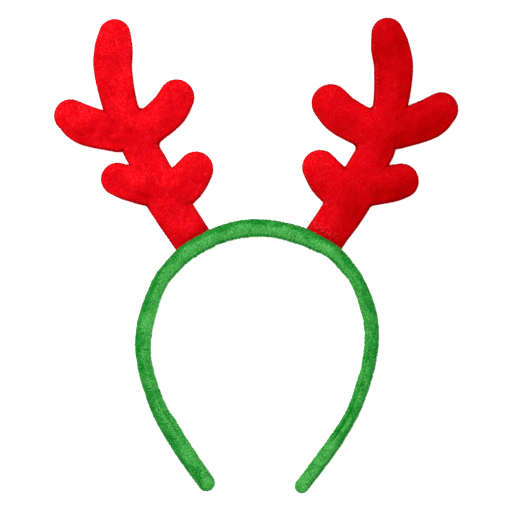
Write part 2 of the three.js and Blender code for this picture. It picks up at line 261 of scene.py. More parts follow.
LINE, OUTWARD, THICKNESS, ALONG = hoop_line()
HOOP_LENGTH = ALONG[-1]


def on_hoop(distance):
    """The middle line's point, outward direction and thickness at each distance along the hoop."""
    columns = np.column_stack([LINE, OUTWARD, THICKNESS])
    found = np.stack([np.interp(distance, ALONG, column) for column in columns.T], axis=1)
    return found[:, :2], found[:, 2:4], found[:, 4]


def section(angle, thickness, width, margin=0.0):
    """The band's section: a superellipse of exponent BAND_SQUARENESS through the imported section's corners,
    grown by a margin. Gives how far each point lies outward and up from the middle line."""
    corner = math.cos(math.pi / SECTION_SIDES) ** (2 / BAND_SQUARENESS)
    outward = (thickness / 2 + margin) * signed_power(np.cos(angle), 2 / BAND_SQUARENESS) / corner
    up = (width / 2 + margin) * signed_power(np.sin(angle), 2 / BAND_SQUARENESS) / corner
    return outward, up


def tube_triangles(rings):
    """Triangles of a tube that is open at both ends, from an array of rings, shaped ring, point, 3: two for
    each quad between neighbouring rings."""
    count, sides, _ = rings.shape
    index = np.arange(count * sides).reshape(count, sides)
    beside = np.roll(index, -1, axis=1)
    quads = np.stack([index[:-1], beside[:-1], beside[1:], index[1:]], axis=-1).reshape(-1, 4)
    return np.concatenate([quads[:, [0, 1, 2]], quads[:, [0, 2, 3]]])


def band_rings(distance, angles, margin=0.0):
    """Points of the band's surface, a ring of angles round the section at each distance along the hoop.
    Thickness and width shrink over the rounded ends as a quarter circle does."""
    point, outward, thickness = on_hoop(distance)
    from_end = np.minimum(distance, HOOP_LENGTH - distance)
    into_end = 1 - np.minimum(from_end / (BAND_THICKNESS / 2), 1)
    round_end = np.sqrt(np.clip(1 - into_end**2, 0, 1))[:, None]
    out, up = section(angles[None, :], thickness[:, None] * round_end, BAND_WIDTH * round_end, margin)
    flat = point[:, None, :] + outward[:, None, :] * out[..., None]
    return np.concatenate([flat, (MIDDLE + up)[..., None]], axis=-1)


BAND_STATIONS = 620
BAND_ROUND = 80
LAP_STATIONS = 560
LAP_ACROSS = 16
LAP_TAPER = 22  # how far from its ends the lap has its full thickness
# How far round the section the lap reaches from the middle of the inside, to the back and to the front
LAP_BACK = 1.5 / SECTION_SIDES * 2 * math.pi
LAP_FRONT = 2.5 / SECTION_SIDES * 2 * math.pi


def across_hoop(distance, angles):
    """Directions out of the band's surface, for each distance along the hoop and angle round its section."""
    _, outward, _ = on_hoop(distance)
    flat = outward[:, None, :] * np.cos(angles)[None, :, None]
    up = np.broadcast_to(np.sin(angles)[None, :, None], (len(distance), len(angles), 1))
    return np.concatenate([flat, up], axis=-1)


# Folds across the inside of the band: place, as a share of its length, depth, half width and how dark the
# painted shade in the fold is
CREASES = [
    (0.2265, 0.18, 0.45, 1.15),
    (0.13, 0.15, 0.8, 0.3),
    (0.69, 0.15, 0.6, 0.3),
    (0.78, 0.15, 0.9, 0.3),
]
# the dark line in a fold is painted shade
CREASE_LINE = 0.35  # half width of the dark line in a fold
PUCKER_DEPTH = 0.15  # of the small creases on the inside of the bends
PADDING_WAVES = [(0.5, 0.16, 11), (2.2, 0.08, 12)]  # how fine along the band, height, seed
WAVE_SIZE = 6
END_FADE = 8  # how far from the hoop's ends the relief is whole
PILE_BED = 0.45  # how far the cloth lies under the tips of its pile

# Against the share of the hoop's length, from its left end: where the band's nap turns dark, as painted shade
# of its sheen, as a share of half its width outward of the middle line, how dark the painted shade line along
# the lap is, and how dark the painted shade in the gaps between the tufts is at the inner edge
NAP_TURN = [
    (0, 0.2), (0.12, -0.1), (0.2, -0.15), (0.25, 0.0), (0.36, 0.2), (0.5, 0.25), (0.6, 0.1),
    (0.68, -0.2), (0.76, -0.45), (0.82, -0.3), (0.88, -0.1), (0.93, 0.4), (1, 0.7),
]
LAP_LINE = [
    (0, 0), (0.07, 0), (0.1, 0.5), (0.2, 0.25), (0.27, 0),
    (0.64, 0), (0.72, 0.3), (0.8, 0.4), (0.9, 0.9), (0.93, 0),
]
TEETH = [(0.3, 0.1), (0.38, 1), (0.62, 1), (0.7, 0.3), (0.9, 0.1)]
NAP_WANDER = 0.25  # how far the nap's turn wanders
NAP_WANDER_SIZE = 9


def along_hoop(table, distance):
    """A table's values at each distance along the hoop, in straight lines between its rows."""
    share, value = np.array(table).T
    return np.interp(distance / HOOP_LENGTH, share, value)


def crease_lines(distance):
    """How dark the painted shade is in the folds across the band: a narrow bell about each."""
    dark = np.zeros(len(distance))
    for place, _, _, darkness in CREASES:
        dark = dark + darkness * bell(distance - place * HOOP_LENGTH, CREASE_LINE)
    return dark[:, None]


def band_relief(distance, angles):
    """How far the band's cover stands out: waves where the padding has settled, less small creases across it
    where the cloth is drawn together on the inside of the bends, and a few folds. It fades at the ends."""
    inward = -np.cos(angles)
    turn = 1.1 * np.stack([np.cos(angles), np.sin(angles)])[:, None]
    round_section = np.stack(np.broadcast_arrays(distance[:, None] / WAVE_SIZE, *turn), axis=-1)
    waves = 0
    for fine, height, seed in PADDING_WAVES:
        waves = waves + height * soft_noise(round_section * [fine, 1, 1], 1.0, seed)
    puckers = np.clip(soft_noise(round_section * [4.5, 0.5, 0.5], 1.0, 13), 0, None) ** 2
    creases = PUCKER_DEPTH * smooth_rise(inward, -0.2, 1.0)[None, :] * puckers
    folded = smooth_rise(inward, -0.35, 0.2)[None, :]
    for place, depth, wide, _ in CREASES:
        creases = creases + depth * bell(distance[:, None] - place * HOOP_LENGTH, wide) * folded
    fade = smooth_rise(np.minimum(distance, HOOP_LENGTH - distance), 0, END_FADE)[:, None]
    return (waves - creases) * fade - PILE_BED


def rim_shade(distance, angles):
    """Painted shade where the band turns down on the inside of the hoop, in teeth, as the tufts part."""
    teeth = 0.4 + smooth_rise(soft_noise(distance[:, None], 0.9, 25), -0.1, 0.5)
    turned_down = smooth_rise(-np.cos(angles), 0.68, 0.88)[None, :]
    return (along_hoop(TEETH, distance) * teeth)[:, None] * turned_down


def nap_shade(angles, turn):
    """Painted shade of the nap's sheen: a smooth rise about its turn, towards the outside of the hoop."""
    return smooth_rise(np.cos(angles)[None, :], turn - 0.25, turn + 0.3)


def nap_place(run, around):
    """A point's place on the velvet, in metres along and around, drawn out across the band with its nap."""
    return np.stack([run + 0.35 * around, 0.5 * around, 0 * run], axis=-1) * MM


def band_cover():
    """The band's velvet: the section carried along the hoop with its relief, and a fan over each end."""
    radius = BAND_THICKNESS / 2
    end = radius * (1 - np.cos(np.linspace(0.04, np.pi / 2, 14)[:-1]))
    middle = np.linspace(radius, HOOP_LENGTH - radius, BAND_STATIONS)
    distance = np.concatenate([end, middle, HOOP_LENGTH - end[::-1]])
    angles = np.linspace(0, 2 * np.pi, BAND_ROUND, endpoint=False)
    rings = band_rings(distance, angles)
    rings = rings + across_hoop(distance, angles) * band_relief(distance, angles)[..., None]
    rings[..., 2] = np.maximum(rings[..., 2], BAND_LIFT)
    points = rings.reshape(-1, 3)
    first = np.arange(BAND_ROUND)
    last = first + (len(rings) - 1) * BAND_ROUND
    tip = np.full(BAND_ROUND, len(points))
    fans = [
        np.column_stack([tip, np.roll(first, -1), first]),
        np.column_stack([tip + 1, last, np.roll(last, -1)]),
    ]
    wander = NAP_WANDER * soft_noise(distance[:, None, None] / NAP_WANDER_SIZE, 1.0, 15)
    # painted shade along the edge of the lap and in the folds across the band
    beside_lap = bell(angles - (math.pi - LAP_FRONT), 0.17)[None, :]
    join = along_hoop(LAP_LINE, distance)[:, None] * beside_lap
    join = join + crease_lines(distance) * smooth_rise(-np.cos(angles)[None, :], -0.1, 0.4)
    run, around = np.broadcast_arrays(distance[:, None], angles[None, :] * BAND_WIDTH / 2)
    # painted shade on the band: where the nap's sheen turns away, in the folds and along the lap, and in
    # teeth along the inside of the hoop
    values = {
        "outer": nap_shade(angles, along_hoop(NAP_TURN, distance)[:, None] + wander),
        "join": join,
        "rim": rim_shade(distance, angles),
        "nap": nap_place(run, around),
    }
    for label, value in values.items():
        flat = value.reshape(len(points), -1)
        values[label] = np.squeeze(np.vstack([flat, flat[[0, -1]]]))
    points = np.vstack([points, rings[0].mean(0), rings[-1].mean(0)])
    return points, np.vstack([tube_triangles(rings), *fans]), values


def cover_lap():
    """The edge of the cover, lapped over along the inside of the hoop: a strip with rounded edges that lies
    on the band's relief. Its thickness grows from each end over LAP_TAPER, and across it as an arch, which
    is steeper where a dark line shows along it."""
    distance = np.linspace(LAP_CUT_BACK, HOOP_LENGTH - LAP_CUT_BACK, LAP_STATIONS)
    share = np.linspace(0, 1, LAP_ACROSS)
    arch = np.sin(np.linspace(0, np.pi, LAP_ACROSS))[None, :]
    line = along_hoop(LAP_LINE, distance)[:, None]
    arch = line * arch**0.35 + (1 - line) * arch**1.3
    angles = math.pi + LAP_BACK - share * (LAP_BACK + LAP_FRONT)
    lift = band_relief(distance, angles)
    from_end = np.minimum(distance - LAP_CUT_BACK, HOOP_LENGTH - LAP_CUT_BACK - distance)
    taper = 0.12 + 0.88 * smooth_rise(from_end, 0, LAP_TAPER)
    wobble = 1 + 0.12 * soft_noise(distance[:, None], 9, 21)
    thick = LAP_THICKNESS * (taper * wobble)[:, None] * arch
    outward = across_hoop(distance, angles)
    bed = band_rings(distance, angles, margin=0.1)
    under = bed + outward * lift[..., None]
    over = bed + outward * (lift + thick)[..., None]
    rings = np.concatenate([under, over[:, ::-1]], axis=1)
    sides = 2 * LAP_ACROSS
    strip = np.arange(LAP_ACROSS - 1)
    a, b, c, d = strip, strip + 1, sides - 2 - strip, sides - 1 - strip
    cap = np.vstack([np.column_stack([a, c, b]), np.column_stack([a, d, c])])
    far = cap[:, ::-1] + (len(rings) - 1) * sides
    both = np.concatenate([angles, angles[::-1]])
    # the painted shade line along the lap is darkest at its edges
    edge = np.concatenate([1 - arch, 1 - arch[:, ::-1]], axis=1)
    run, around = np.broadcast_arrays(distance[:, None], both[None, :] * BAND_WIDTH / 2)
    # painted shade on the lap: the same as on the band, and a line along the lap's edges
    values = {
        "outer": nap_shade(both, along_hoop(NAP_TURN, distance)[:, None]).ravel(),
        "join": (0.5 * line * (1 + edge) + crease_lines(distance)).ravel(),
        "rim": rim_shade(distance, both).ravel(),
        "nap": nap_place(run, around).reshape(-1, 3),
    }
    return rings.reshape(-1, 3), np.vstack([tube_triangles(rings), cap, far]), values


def pile(points, faces, values, count, length, width, lean, seed):
    """Tufts of pile that stand on a skin, each a narrow pyramid on three sides. A tuft's root is a random
    point of the skin, but not on its underside, and it stands along the skin's normal, leaning by the lean's
    direction and by chance. Gives the tufts' points and faces and the skin's values at their roots, with tip,
    which is 0 at a root and 1 at a tip, and tuft, a chance value for each."""
    dice = np.random.default_rng(seed)
    corners = points[faces]
    across = np.cross(corners[:, 1] - corners[:, 0], corners[:, 2] - corners[:, 0])
    area = np.linalg.norm(across, axis=1)
    normals = across / np.maximum(area, 1e-12)[:, None]
    chance = area * (normals[:, 2] > -0.75)
    picked = dice.choice(len(faces), count, p=chance / chance.sum())
    weight = dice.dirichlet([1, 1, 1], count)
    root = (corners[picked] * weight[..., None]).sum(1)
    normal = normals[picked]
    direction = normal + lean(root) + 0.35 * dice.normal(size=(count, 3))
    direction /= np.linalg.norm(direction, axis=1)[:, None]
    reach = length * dice.uniform(0.6, 1.2, count)
    side = np.cross(direction, dice.normal(size=(count, 3)))
    side /= np.linalg.norm(side, axis=1)[:, None]
    other = np.cross(direction, side)
    turn = np.array([0, 2, 4]) * math.pi / 3
    ring = side[:, None] * np.cos(turn)[None, :, None] + other[:, None] * np.sin(turn)[None, :, None]
    base = (root - 0.15 * normal)[:, None] + width * ring
    tip = root + direction * reach[:, None]
    tufts = np.concatenate([base, tip[:, None]], axis=1)
    tufts[..., 2] = np.maximum(tufts[..., 2], TUFT_LIFT)
    start = 4 * np.arange(count)[:, None, None]
    shape = np.array([[0, 1, 3], [1, 2, 3], [2, 0, 3], [0, 2, 1]])[None]
    rooted = {}
    for label, value in values.items():
        at_root = np.einsum("nc...,nc->n...", value[faces[picked]], weight)
        rooted[label] = np.repeat(at_root, 4, axis=0)
    rooted["tip"] = np.tile([0.0, 0, 0, 1], count)
    rooted["tuft"] = np.repeat(dice.normal(size=count), 4)
    return tufts.reshape(-1, 3), (start + shape).reshape(-1, 3), rooted


# The antlers


def tines_of(side, setting, tuck):
    """Each tine as rows of discs, x, y and radius, from the foot at the origin: the pattern's rows, turned
    about the tine's root and stretched as the stuffing has set them, on a smooth line. The stem is started
    below the foot by twice the tuck."""
    pattern = {name: np.array(rows) for name, rows in PATTERN.items()}
    top_root = pattern["top"][0, :2]
    tines = {}
    for name, rows in pattern.items():
        sway, reach, fuller = setting.get(name, AS_CUT)
        root = rows[0, :2]
        moved = turned(rows[:, :2] - root, sway) * reach
        if root[1] > top_root[1]:
            root = top_root + turned(root - top_root, setting.get("top", AS_CUT)[0])
        out_up = (moved + root) * ANTLER_HEIGHT * [side, 1]
        radius = rows[:, 2:] * TINE_WIDTH / 2 * fuller
        tines[name] = smooth_path(np.hstack([out_up, radius]), TINE_STEPS, even=True)
    foot, after = tines["stem"][:2]
    up_stem = (after - foot)[:2] / np.linalg.norm((after - foot)[:2])
    tines["stem"] = np.vstack([[*(foot[:2] - up_stem * 2 * tuck), foot[2]], tines["stem"]])
    return tines, up_stem


def turned(points, sway):
    """Points turned by the sway, outwards, in degrees."""
    angle = math.radians(-sway)
    c, s = math.cos(angle), math.sin(angle)
    return points @ np.array([[c, s], [-s, c]])


def tine_distance(points, discs):
    """How far each point lies from a tine's edge, negative inside: the least, over the straight stretches
    between discs, of the distance to the stretch less its radius there."""
    a, b = discs[:-1], discs[1:]
    run = b[:, :2] - a[:, :2]
    rel = points[:, None, :] - a[None, :, :2]
    t = np.clip((rel * run).sum(-1) / (run**2).sum(-1), 0, 1)
    radius = a[:, 2] + t * (b[:, 2] - a[:, 2])
    away = np.linalg.norm(rel - t[..., None] * run, axis=-1) - radius
    return away.min(1)


class Antler:
    """An antler's outline and its stuffing: which side it is on, its seat on the band, and its tines."""

    def __init__(self, name, side, seat_row, setting, seed):
        self.name, self.side, self.seed = name, side, seed
        seat = packed_hoop()[seat_row * SPAN_STEPS]
        nearest = np.argmin(np.linalg.norm(LINE - CROWN - seat[:2], axis=1))
        self.seat = seat[:2] + CROWN + OUTWARD[nearest] * seat[2] / 2
        self.tuck = FOOT_TUCK * seat[2]
        self.tines, self.up_stem = tines_of(side, setting, self.tuck)

    def distance(self, points):
        """Distance to the antler's outline, negative inside: its tines joined one after another, with the
        corner between two rounded by a smooth least of their distances, and cut off square at the foot."""
        joined = None
        for name, discs in self.tines.items():
            own = tine_distance(points, discs)
            if joined is None:
                joined = own
                continue
            crotch = CROTCH[name] * TINE_WIDTH
            blend = np.maximum(crotch - np.abs(joined - own), 0) / crotch
            joined = np.minimum(joined, own) - blend**2 * crotch / 4
        return np.maximum(joined, -(points @ self.up_stem) - self.tuck)

    def outward(self, points):
        """The direction away from the outline's inside: the slope of the distance, taken over 0.2 mm."""
        step = 0.1
        slope = np.stack(
            [
                self.distance(points + [step, 0]) - self.distance(points - [step, 0]),
                self.distance(points + [0, step]) - self.distance(points - [0, step]),
            ],
            axis=1,
        )
        return slope / np.maximum(np.linalg.norm(slope, axis=1), 1e-9)[:, None]


def triangle_lattice(low, high, step):
    """Points and triangles of a lattice whose odd rows are shifted by half a step."""
    rise = step * math.sqrt(3) / 2
    columns = int(math.ceil((high[0] - low[0]) / step)) + 2
    rows = int(math.ceil((high[1] - low[1]) / rise)) + 2
    j, i = np.mgrid[0:rows, 0:columns]
    points = np.stack([low[0] + (i + (j % 2) / 2) * step, low[1] + j * rise], axis=-1).reshape(-1, 2)
    index = (j * columns + i)[:-1, :-1]
    a, b, c, d = (x.ravel() for x in (index, index + 1, index + columns, index + columns + 1))
    odd = (j[:-1, :-1] % 2).ravel() == 1
    first = np.where(odd[:, None], np.column_stack([a, b, d]), np.column_stack([a, b, c]))
    second = np.where(odd[:, None], np.column_stack([a, d, c]), np.column_stack([b, d, c]))
    return points, np.vstack([first, second])


def both_ways(triangles):
    """The triangles' edges, each in the direction in which its triangle runs."""
    return np.vstack([triangles[:, [0, 1]], triangles[:, [1, 2]], triangles[:, [2, 0]]])


RIM_SWEEPS = 4
EVENING_SWEEPS = 12


def flat_panel(antler, step):
    """The antler's cloth as a flat mesh: the lattice triangles inside the outline. The points round its rim
    are moved out onto the outline, and the others evened out between their neighbours."""
    discs = np.vstack(list(antler.tines.values()))
    low = (discs[:, :2] - discs[:, 2:]).min(0) - step
    high = (discs[:, :2] + discs[:, 2:]).max(0) + step
    points, triangles = triangle_lattice(low, high, step)
    inside = antler.distance(points) < -0.45 * step
    triangles = triangles[inside[triangles].all(1)]
    used, triangles = np.unique(triangles, return_inverse=True)
    triangles = triangles.reshape(-1, 3)
    points = points[used]
    half_edges = both_ways(triangles)
    keys, counts = np.unique(np.sort(half_edges, axis=1), axis=0, return_counts=True)
    rim = np.zeros(len(points), bool)
    rim[keys[counts == 1].ravel()] = True
    for _ in range(RIM_SWEEPS):
        points[rim] -= antler.distance(points[rim])[:, None] * antler.outward(points[rim])
    a, b = keys.T
    degree = neighbour_sum(np.ones(len(points)), a, b)
    for _ in range(EVENING_SWEEPS):
        mean = neighbour_sum(points, a, b) / degree[:, None]
        points = np.where(rim[:, None], points, 0.4 * points + 0.6 * mean)
    return points, triangles, rim, keys


def gathered(a, b, to_a, to_b, count):
    """For each point, the sum of what the edges from a to b bring to it."""
    return np.bincount(a, to_a, count) + np.bincount(b, to_b, count)


def neighbour_sum(values, a, b):
    """For each point, the sum of its neighbours' values, over the edges from a to b."""
    if values.ndim == 1:
        return gathered(a, b, values[b], values[a], len(values))
    return np.stack([neighbour_sum(column, a, b) for column in values.T], axis=1)


def evened_out(values, edges, sweeps):
    """Values over the panel, each moved half way to its neighbours' mean, again and again."""
    a, b = edges.T
    degree = neighbour_sum(np.ones(len(values)), a, b)
    for _ in range(sweeps):
        values = (values + neighbour_sum(values, a, b) / degree) / 2
    return values


def pressed_height(points, rim, edges, sweeps):
    """The height of a skin that is held at the rim and pressed up evenly: each point settles at the mean of
    its neighbours, weighted by nearness, plus a quarter of the square of their spacing."""
    a, b = edges.T
    spacing = np.linalg.norm(points[a] - points[b], axis=1)
    count = len(points)
    pull = gathered(a, b, 1 / spacing, 1 / spacing, count)
    load = gathered(a, b, spacing / 4, spacing / 4, count)
    height = np.zeros(count)
    for _ in range(sweeps):
        sums = gathered(a, b, height[b] / spacing, height[a] / spacing, count)
        height = np.where(rim, 0, (sums + load) / pull)
    return height


PANEL_STEP = 0.45  # between the points of a finished panel, and the sweeps that settle its height
PANEL_SWEEPS = 2600
WEAVE_STEP = 1.7  # the same for the skin that is pressed out as cloth
WEAVE_SWEEPS = 700
CROWD_DEPTH = 5.0  # how far from the rim the points crowd towards it, and how strongly
CROWD_POWER = 2.4
SLACK = 0.86  # the skin's height before the stuffing presses, as a share of the full height
CLOTH_STEPS = 20
MOST_MOVED = 3.0  # by the pressing


def domed_panel(antler, step, sweeps):
    """One panel of the antler, sewn down round its rim and lifted by the stuffing. Each point is lifted by
    the root of the pressed skin's height, which gives a long tine a round section, and levelled off at the
    antler's thickness. Near the rim the points crowd together, so that the seam's roll is smooth."""
    points, triangles, rim, edges = flat_panel(antler, step)
    pressed = pressed_height(points, rim, edges, sweeps)
    depth = np.maximum(-antler.distance(points), 0)
    away = antler.outward(points)
    near = np.minimum(depth / CROWD_DEPTH, 1)
    crowded = np.where(depth < CROWD_DEPTH, CROWD_DEPTH * near**CROWD_POWER, depth)
    slow = (TINE_WIDTH - crowded) / np.maximum(TINE_WIDTH - depth, TINE_WIDTH / 2)
    share = np.where(depth < CROWD_DEPTH, crowded / np.maximum(depth, 1e-6) * slow, 1)
    points = points + away * (depth - crowded)[:, None]
    lift = np.sqrt(2 * np.maximum(pressed * share, 0))
    up_stem = points @ antler.up_stem
    half = ANTLER_THICKNESS / 2
    fullest = FOOT_THICKNESS / 2 + (half - FOOT_THICKNESS / 2) * smooth_rise(up_stem, 0, FOOT_PINCH)
    height = SLACK * fullest * np.tanh(FULLNESS * lift / half)
    height[rim] = 0
    return points, triangles, rim, edges, height, crowded


def both_panels(front, back, triangles, rim):
    """A front and a back panel as one closed skin, joined along the rim that they share."""
    count = len(front)
    partner = np.where(rim, np.arange(count), count + np.cumsum(~rim) - 1)
    return np.vstack([front, back[~rim]]), np.vstack([triangles, partner[triangles][:, ::-1]])


def pressed_out(antler):
    """How the stuffing moves the two panels: a coarser closed skin is pressed out from inside as cloth for
    CLOTH_STEPS frames, held along its seam, and a little too large for its seam, so that it puckers. Gives
    the places on the panel and how far the cloth moved there, for the front and for the back."""
    points, triangles, rim, _, height, _ = domed_panel(antler, WEAVE_STEP, WEAVE_SWEEPS)
    front, back = (np.column_stack([points, side * height]) for side in (1, -1))
    skin, faces = both_panels(front, back, triangles, rim)
    piece = new_piece(f"{antler.name}_pressed", skin, faces)
    held = piece.vertex_groups.new(name="seam")
    held.add(np.flatnonzero(rim).tolist(), 1.0, "REPLACE")
    cloth = piece.modifiers.new("stuffing", "CLOTH").settings
    cloth.use_pressure = True
    cloth.uniform_pressure_force = 4
    cloth.effector_weights.gravity = 0
    cloth.vertex_group_mass = "seam"
    cloth.shrink_min = -0.03
    cloth.tension_stiffness = 20
    cloth.compression_stiffness = 20
    cloth.bending_stiffness = 0.3
    cloth.quality = 8
    for frame_number in range(1, CLOTH_STEPS + 1):
        bpy.context.scene.frame_set(frame_number)
    settled = piece.evaluated_get(bpy.context.evaluated_depsgraph_get()).to_mesh()
    after = np.empty(3 * len(skin), np.float32)
    settled.vertices.foreach_get("co", after)
    moved = after.reshape(-1, 3) / MM - skin
    moved *= np.minimum(1, MOST_MOVED / np.maximum(np.linalg.norm(moved, axis=1), 1e-9))[:, None]
    bpy.context.scene.frame_set(1)
    bpy.data.objects.remove(piece)
    back = np.vstack([moved[: len(points)][rim], moved[len(points) :]])
    return (points, moved[: len(points)]), (np.vstack([points[rim], points[~rim]]), back)


def read_between(places, values, wanted, step):
    """Values given at scattered places, read at others: each is shared out over a square grid, weighted by a
    bell of one step's width, and read back in a straight line between the grid's points."""
    low = np.minimum(places.min(0), wanted.min(0)) - 4 * step
    size = np.ceil((np.maximum(places.max(0), wanted.max(0)) - low) / step).astype(int) + 5
    total = np.zeros((*size, values.shape[1] + 1))
    spot = (places - low) / step
    near = np.floor(spot).astype(int)
    for i in range(-2, 4):
        for j in range(-2, 4):
            cell = near + [i, j]
            weight = np.exp(-(((cell - spot) ** 2).sum(1)) / 0.9)
            np.add.at(total, (cell[:, 0], cell[:, 1]), np.column_stack([values * weight[:, None], weight]))
    grid = total[..., :-1] / np.maximum(total[..., -1:], 1e-9)
    spot = (wanted - low) / step
    near = np.floor(spot).astype(int)
    u, v = (spot - near).T[:, :, None]
    i, j = near.T
    low_side = (1 - v) * grid[i, j] + v * grid[i, j + 1]
    high_side = (1 - v) * grid[i + 1, j] + v * grid[i + 1, j + 1]
    return (1 - u) * low_side + u * high_side


def stuffed_antler(antler):
    """The antler's closed skin: a front and a back panel, domed and then pressed out as cloth."""
    points, triangles, rim, edges, height, depth = domed_panel(antler, PANEL_STEP, PANEL_SWEEPS)
    moves = [read_between(places, moved, points, WEAVE_STEP) for places, moved in pressed_out(antler)]
    return shape_panels(antler, points, triangles, rim, edges, height, depth, moves)


STITCH = 2.3  # from one stitch to the next
THREAD_LENGTH = 1.5
THREAD_RADIUS = 0.17
SEAM_WIDTH = 1.6  # the strip along the seam that the stitches draw in
ROLL_SWEEPS = 50
SWELL_SWEEPS = 90
LEE_SWEEPS = 300


def round_the_rim(triangles):
    """The rim's points in order: every edge with one triangle leads from a point to the next one round, and
    the list is doubled by steps twice as long until it closes."""
    half_edges = both_ways(triangles)
    _, index, counts = np.unique(np.sort(half_edges, axis=1), axis=0, return_index=True, return_counts=True)
    border = half_edges[index[counts == 1]]
    jump = np.arange(triangles.max() + 1)
    jump[border[:, 0]] = border[:, 1]
    order = border[:1, 0]
    while len(order) < len(border):
        order = np.concatenate([order, jump[order]])
        jump = jump[jump]
    return order[: len(border)]


def seam_run(points, on_rim, order, near):
    """How far round the seam each point lies, for the points near it: the run at the closest rim point."""
    loop = points[order]
    steps = np.linalg.norm(np.roll(loop, -1, axis=0) - loop, axis=1)
    run = np.concatenate([[0], np.cumsum(steps)[:-1]])
    found = np.zeros(len(points))
    for some in np.array_split(np.flatnonzero(near), 12):
        apart = ((on_rim[some, None] - loop[None]) ** 2).sum(-1)
        found[some] = run[np.argmin(apart, axis=1)]
    return found


def thread(rim_line):
    """The seam's stitches: spindles on eight sides, one each STITCH along the rim line, whose radius swells
    from nothing at the ends as a half ellipse does."""
    steps = np.linalg.norm(np.roll(rim_line, -1, axis=0) - rim_line, axis=1)
    run = np.concatenate([[0], np.cumsum(steps)])
    closed = np.vstack([rim_line, rim_line[:1]])
    middle = np.arange(0, run[-1] - STITCH / 2, STITCH)
    share = np.linspace(-1, 1, 7)
    at = middle[:, None] + share[None, :] * THREAD_LENGTH / 2
    line = np.stack([np.interp(at % run[-1], run, column) for column in closed.T], axis=-1)
    along = np.gradient(line, axis=1)
    along /= np.maximum(np.linalg.norm(along, axis=-1), 1e-9)[..., None]
    up = np.array([0, 0, 1.0]) - along * along[..., 2:]
    up /= np.linalg.norm(up, axis=-1)[..., None]
    side = np.cross(along, up)
    turn = np.arange(8) * math.pi / 4
    swell = THREAD_RADIUS * np.sqrt(np.maximum(1 - share**2, 0.01))[None, :, None, None]
    ring = side[:, :, None] * np.cos(turn)[:, None] + up[:, :, None] * np.sin(turn)[:, None]
    rings = line[:, :, None] + swell * ring
    count, stations, sides = rings.shape[:3]
    index = np.arange(count * stations * sides).reshape(count, stations, sides)
    beside = np.roll(index, -1, axis=2)
    quads = np.stack([index[:, :-1], beside[:, :-1], beside[:, 1:], index[:, 1:]], axis=-1).reshape(-1, 4)
    fan = np.array([[0, 1, 2, 3], [0, 3, 4, 5], [0, 5, 6, 7]])
    ends = np.vstack([index[:, 0][:, fan[:, ::-1]].reshape(-1, 4), index[:, -1][:, fan].reshape(-1, 4)])
    return rings.reshape(-1, 3), np.vstack([quads, ends])


def rolled_seam(antler, points, on_rim, away, from_foot, edges):
    """How far the seam has rolled to the front: most along edges that face the lean direction, on the right
    antler also along the inner edge of its top tine, and not at the foot."""
    facing = np.clip(away @ LEAN[antler.side], 0, 1) ** 1.3
    if antler.side > 0:
        facing = facing + smooth_rise(points[:, 1], 70, 84) * smooth_rise(-away[:, 0], 0.7, 1)
    facing = facing * (0.85 + 0.3 * soft_noise(on_rim, 18, antler.seed + 1))
    return evened_out(facing, edges, ROLL_SWEEPS) * smooth_rise(from_foot, 2, 12)


def foot_folds(antler, depth, from_foot, across):
    """Height of the folds where the foot is crumpled against the band: soft noise in a strip above it, most
    on its left half."""
    folds = soft_noise(np.column_stack([across * 0.75, from_foot]), 1.1, antler.seed + 5)
    strip = smooth_rise(from_foot, 0.4, 2.2) * (1 - smooth_rise(from_foot, 3.8, 7.5))
    folds = (0.35 + folds) * strip * (1 - 0.9 * smooth_rise(across, 0, 7)) * smooth_rise(depth, 0.3, 3)
    return folds * CRUMPLED[antler.side]


def painted_shade_and_dark_right(antler, points, away, depth, from_foot, across, edges):
    """Painted shade on the pile: by the foot, in a line beside the band and towards the edges that face down
    and a little to the right. On the right antler the pile is also darker up its top tine and over its right
    side."""
    shade_by_foot = np.exp(-np.clip(from_foot, 0, None) / 5) * (0.3 + 0.7 * smooth_rise(across, -4, 6))
    shadow_line_at_band = bell(np.clip(from_foot - 0.5, 0, None), 1.6)
    dark = 0.8 * shade_by_foot + 0.9 * shadow_line_at_band * smooth_rise(across, -9, 2)
    facing_down = (0.25 * away[:, 0] - away[:, 1]) * np.exp(-depth / 5)
    lee = LEE_SHADE[antler.side] * evened_out(facing_down, edges, LEE_SWEEPS)
    if antler.side < 0:
        return dark + lee
    on_top_tine = smooth_rise(points[:, 1], 68, 92) * smooth_rise(points[:, 0], 12, 22)
    right_of_stem = points[:, 0] - 0.35 * points[:, 1]
    darker_right_and_lee = 0.65 * smooth_rise(right_of_stem, -9, 38) + lee
    dark = dark + 0.5 * smooth_rise(points[:, 1], 60, 88) + 0.15 * on_top_tine
    return dark + darker_right_and_lee * (1 - 0.85 * on_top_tine)


